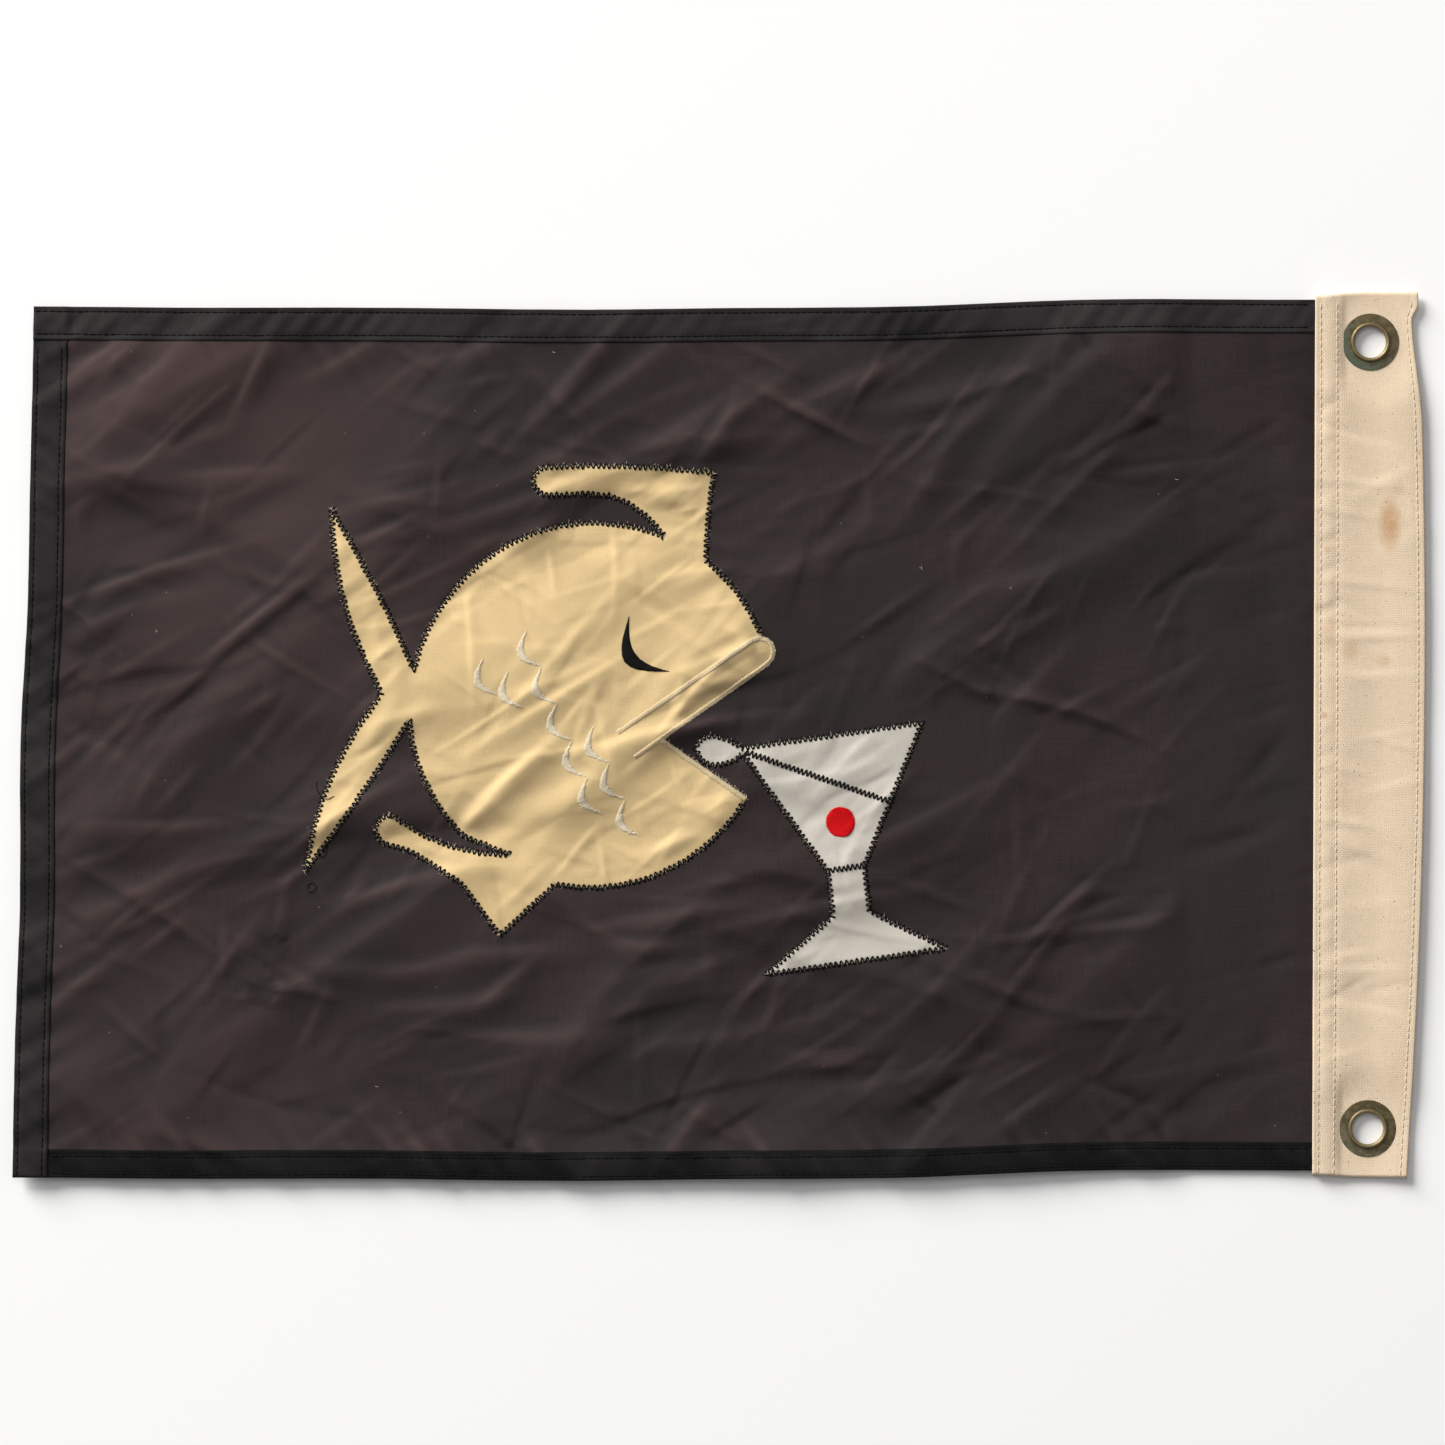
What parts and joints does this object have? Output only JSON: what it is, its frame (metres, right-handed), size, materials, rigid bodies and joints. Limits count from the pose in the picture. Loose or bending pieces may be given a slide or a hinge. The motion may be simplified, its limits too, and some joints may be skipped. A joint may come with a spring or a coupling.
{
  "type": "boat flag",
  "caption": "Small dark nylon boat flag with sewn hems, a canvas heading with two brass grommets, and sewn-on fish and cocktail glass patches.",
  "frame": {"origin": "under the middle of the flag, on the surface that it lies on", "axes": "+X from the fly edge to the heading, +Y up the hoist, +Z out of the face with the patches"},
  "size_m": [0.492, 0.308, 0.0026],
  "materials": {
    "black_nylon": "thin plain-woven nylon, faded and creased",
    "hem_nylon": "folded nylon, darker where it is three plies thick",
    "canvas": "unbleached cotton canvas, a little rust-stained",
    "yellow_cotton": "creased cotton twill",
    "grey_cotton": "creased plain cotton",
    "black_thread": "spun sewing thread",
    "cream_thread": "rayon embroidery thread with a soft sheen",
    "white_thread": "spun sewing thread",
    "red_thread": "rayon embroidery thread with a soft sheen",
    "aged_brass": "brass with a brown and green patina"
  },
  "bodies": {
    "field": {"field_cloth": "black_nylon", "top_hem": "hem_nylon", "fly_hem": "hem_nylon", "bottom_hem": "hem_nylon", "top_hem_outer_row": "black_thread", "top_hem_inner_row": "black_thread", "fly_hem_outer_row": "black_thread", "fly_hem_inner_row": "black_thread", "bottom_hem_outer_row": "black_thread", "bottom_hem_inner_row": "black_thread", "fish_patch": "yellow_cotton", "fish_edge_zigzag": "black_thread", "lip_stitching": "cream_thread", "jaw_stitching": "cream_thread", "scale_embroidery": "cream_thread", "eye_embroidery": "black_thread", "glass_patch": "grey_cotton", "glass_edge_zigzag": "black_thread", "drink_line_zigzag": "black_thread", "stem_line_zigzag": "black_thread", "cherry_embroidery": "red_thread"},
    "heading": {"heading_tape": "canvas", "seam_allowance": "black_nylon", "seam_edge_row": "white_thread", "seam_second_row": "white_thread", "hoist_row": "white_thread", "upper_grommet": "aged_brass", "upper_washer": "aged_brass", "lower_grommet": "aged_brass", "lower_washer": "aged_brass"}
  },
  "joints": [
    {"name": "heading_fold", "type": "hinge", "parent": "field", "child": "heading", "pos_m": [0.2077, 0, 0.00275], "axis": [0, -1, 0], "range_deg": [0, 180]}
  ]
}
